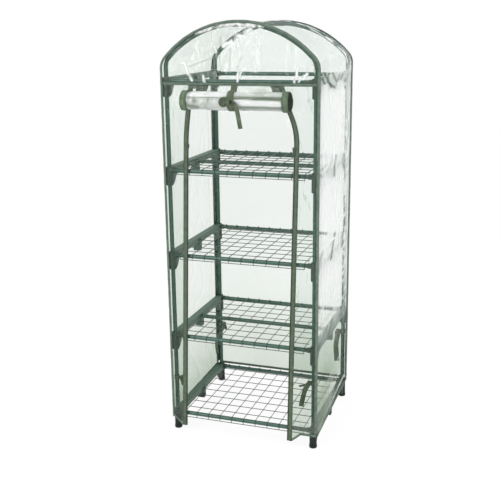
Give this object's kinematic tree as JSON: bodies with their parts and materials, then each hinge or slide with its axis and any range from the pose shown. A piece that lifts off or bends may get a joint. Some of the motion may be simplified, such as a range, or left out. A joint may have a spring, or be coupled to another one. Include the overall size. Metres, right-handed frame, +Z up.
{
  "type": "tiered greenhouse",
  "caption": "Upright arched greenhouse: push-fit tube frame in moulded rails, hooked wire shelves and a clear zipped cover with its door rolled up and tied.",
  "frame": {"origin": "on the floor, at the centre of the whole object's box", "axes": "X to the right, Y to the back, Z up; the rolled door faces -Y"},
  "size_m": [0.5922, 0.6068, 1.5775],
  "materials": {
    "frame_tube": "satin dark green powder coat on thin steel tube",
    "rail_plastic": "moulded grey-green polypropylene with a fine texture",
    "shelf_wire": "dip-coated steel wire, welded at the crossings",
    "clear_film": "thin clear soft vinyl film with creases",
    "seam_tape": "olive woven seam tape, stitched",
    "tie_webbing": "olive woven tie tape",
    "zip_tape": "dark olive zip tape with a moulded coil",
    "zip_metal": "dark olive painted slider"
  },
  "bodies": {
    "frame": {"door_header_tape": "seam_tape", "door_roll": "clear_film", "door_zip_roll_left": "zip_tape", "door_zip_roll_right": "zip_tape", "foot_caps": "rail_plastic", "front_binding": "seam_tape", "front_corner_ties": "tie_webbing", "front_hoop_coupling": "rail_plastic", "front_hoop_left": "frame_tube", "front_hoop_right": "frame_tube", "front_lunette": "clear_film", "front_strip_left": "clear_film", "front_strip_right": "clear_film", "front_tube_1": "frame_tube", "front_tube_2": "frame_tube", "front_tube_3": "frame_tube", "front_tube_4": "frame_tube", "front_tube_5": "frame_tube", "hang_strap_left": "tie_webbing", "hang_strap_right": "tie_webbing", "hem_tapes": "seam_tape", "middle_tube_2": "frame_tube", "middle_tube_4": "frame_tube", "post_front_left": "frame_tube", "post_front_right": "frame_tube", "post_rear_left": "frame_tube", "post_rear_right": "frame_tube", "rear_binding": "seam_tape", "rear_corner_ties": "tie_webbing", "rear_hoop_coupling": "rail_plastic", "rear_hoop_left": "frame_tube", "rear_hoop_right": "frame_tube", "rear_sheet": "clear_film", "rear_tube_1": "frame_tube", "rear_tube_2": "frame_tube", "rear_tube_3": "frame_tube", "rear_tube_4": "frame_tube", "rear_tube_5": "frame_tube", "roll_tie": "tie_webbing", "roof_and_side_sheet": "clear_film", "side_rail_left_1": "rail_plastic", "side_rail_left_2": "rail_plastic", "side_rail_left_3": "rail_plastic", "side_rail_left_4": "rail_plastic", "side_rail_left_5": "rail_plastic", "side_rail_right_1": "rail_plastic", "side_rail_right_2": "rail_plastic", "side_rail_right_3": "rail_plastic", "side_rail_right_4": "rail_plastic", "side_rail_right_5": "rail_plastic", "zip_tape_left": "zip_tape", "zip_tape_right": "zip_tape"},
    "shelf_1": {"wire_shelf_1": "shelf_wire"},
    "shelf_2": {"wire_shelf_2": "shelf_wire"},
    "shelf_3": {"wire_shelf_3": "shelf_wire"},
    "shelf_4": {"wire_shelf_4": "shelf_wire"},
    "slider_left": {"zip_slider_left": "zip_metal"},
    "pull_left": {"zip_pull_left": "zip_metal"},
    "slider_right": {"zip_slider_right": "zip_metal"},
    "pull_right": {"zip_pull_right": "zip_metal"}
  },
  "joints": [
    {"name": "shelf_lift_1", "type": "slide", "parent": "frame", "child": "shelf_1", "axis": [0, 0, 1], "range_m": [0, 0.05]},
    {"name": "shelf_lift_2", "type": "slide", "parent": "frame", "child": "shelf_2", "axis": [0, 0, 1], "range_m": [0, 0.05]},
    {"name": "shelf_lift_3", "type": "slide", "parent": "frame", "child": "shelf_3", "axis": [0, 0, 1], "range_m": [0, 0.05]},
    {"name": "shelf_lift_4", "type": "slide", "parent": "frame", "child": "shelf_4", "axis": [0, 0, 1], "range_m": [0, 0.05]},
    {"name": "zip_run_left", "type": "slide", "parent": "frame", "child": "slider_left", "axis": [-0.0367, 0, -0.9993], "range_m": [0, 1.1027]},
    {"name": "pull_flip_left", "type": "hinge", "parent": "slider_left", "child": "pull_left", "pos_m": [-0.19666, -0.2217, 1.138], "axis": [-0.9993, 0, 0.0367], "range_deg": [0, 150]},
    {"name": "zip_run_right", "type": "slide", "parent": "frame", "child": "slider_right", "axis": [-0.0225, 0, -0.9997], "range_m": [0, 1.1023]},
    {"name": "pull_flip_right", "type": "hinge", "parent": "slider_right", "child": "pull_right", "pos_m": [0.20582, -0.2217, 1.138], "axis": [-0.9997, 0, 0.0225], "range_deg": [0, 150]}
  ]
}
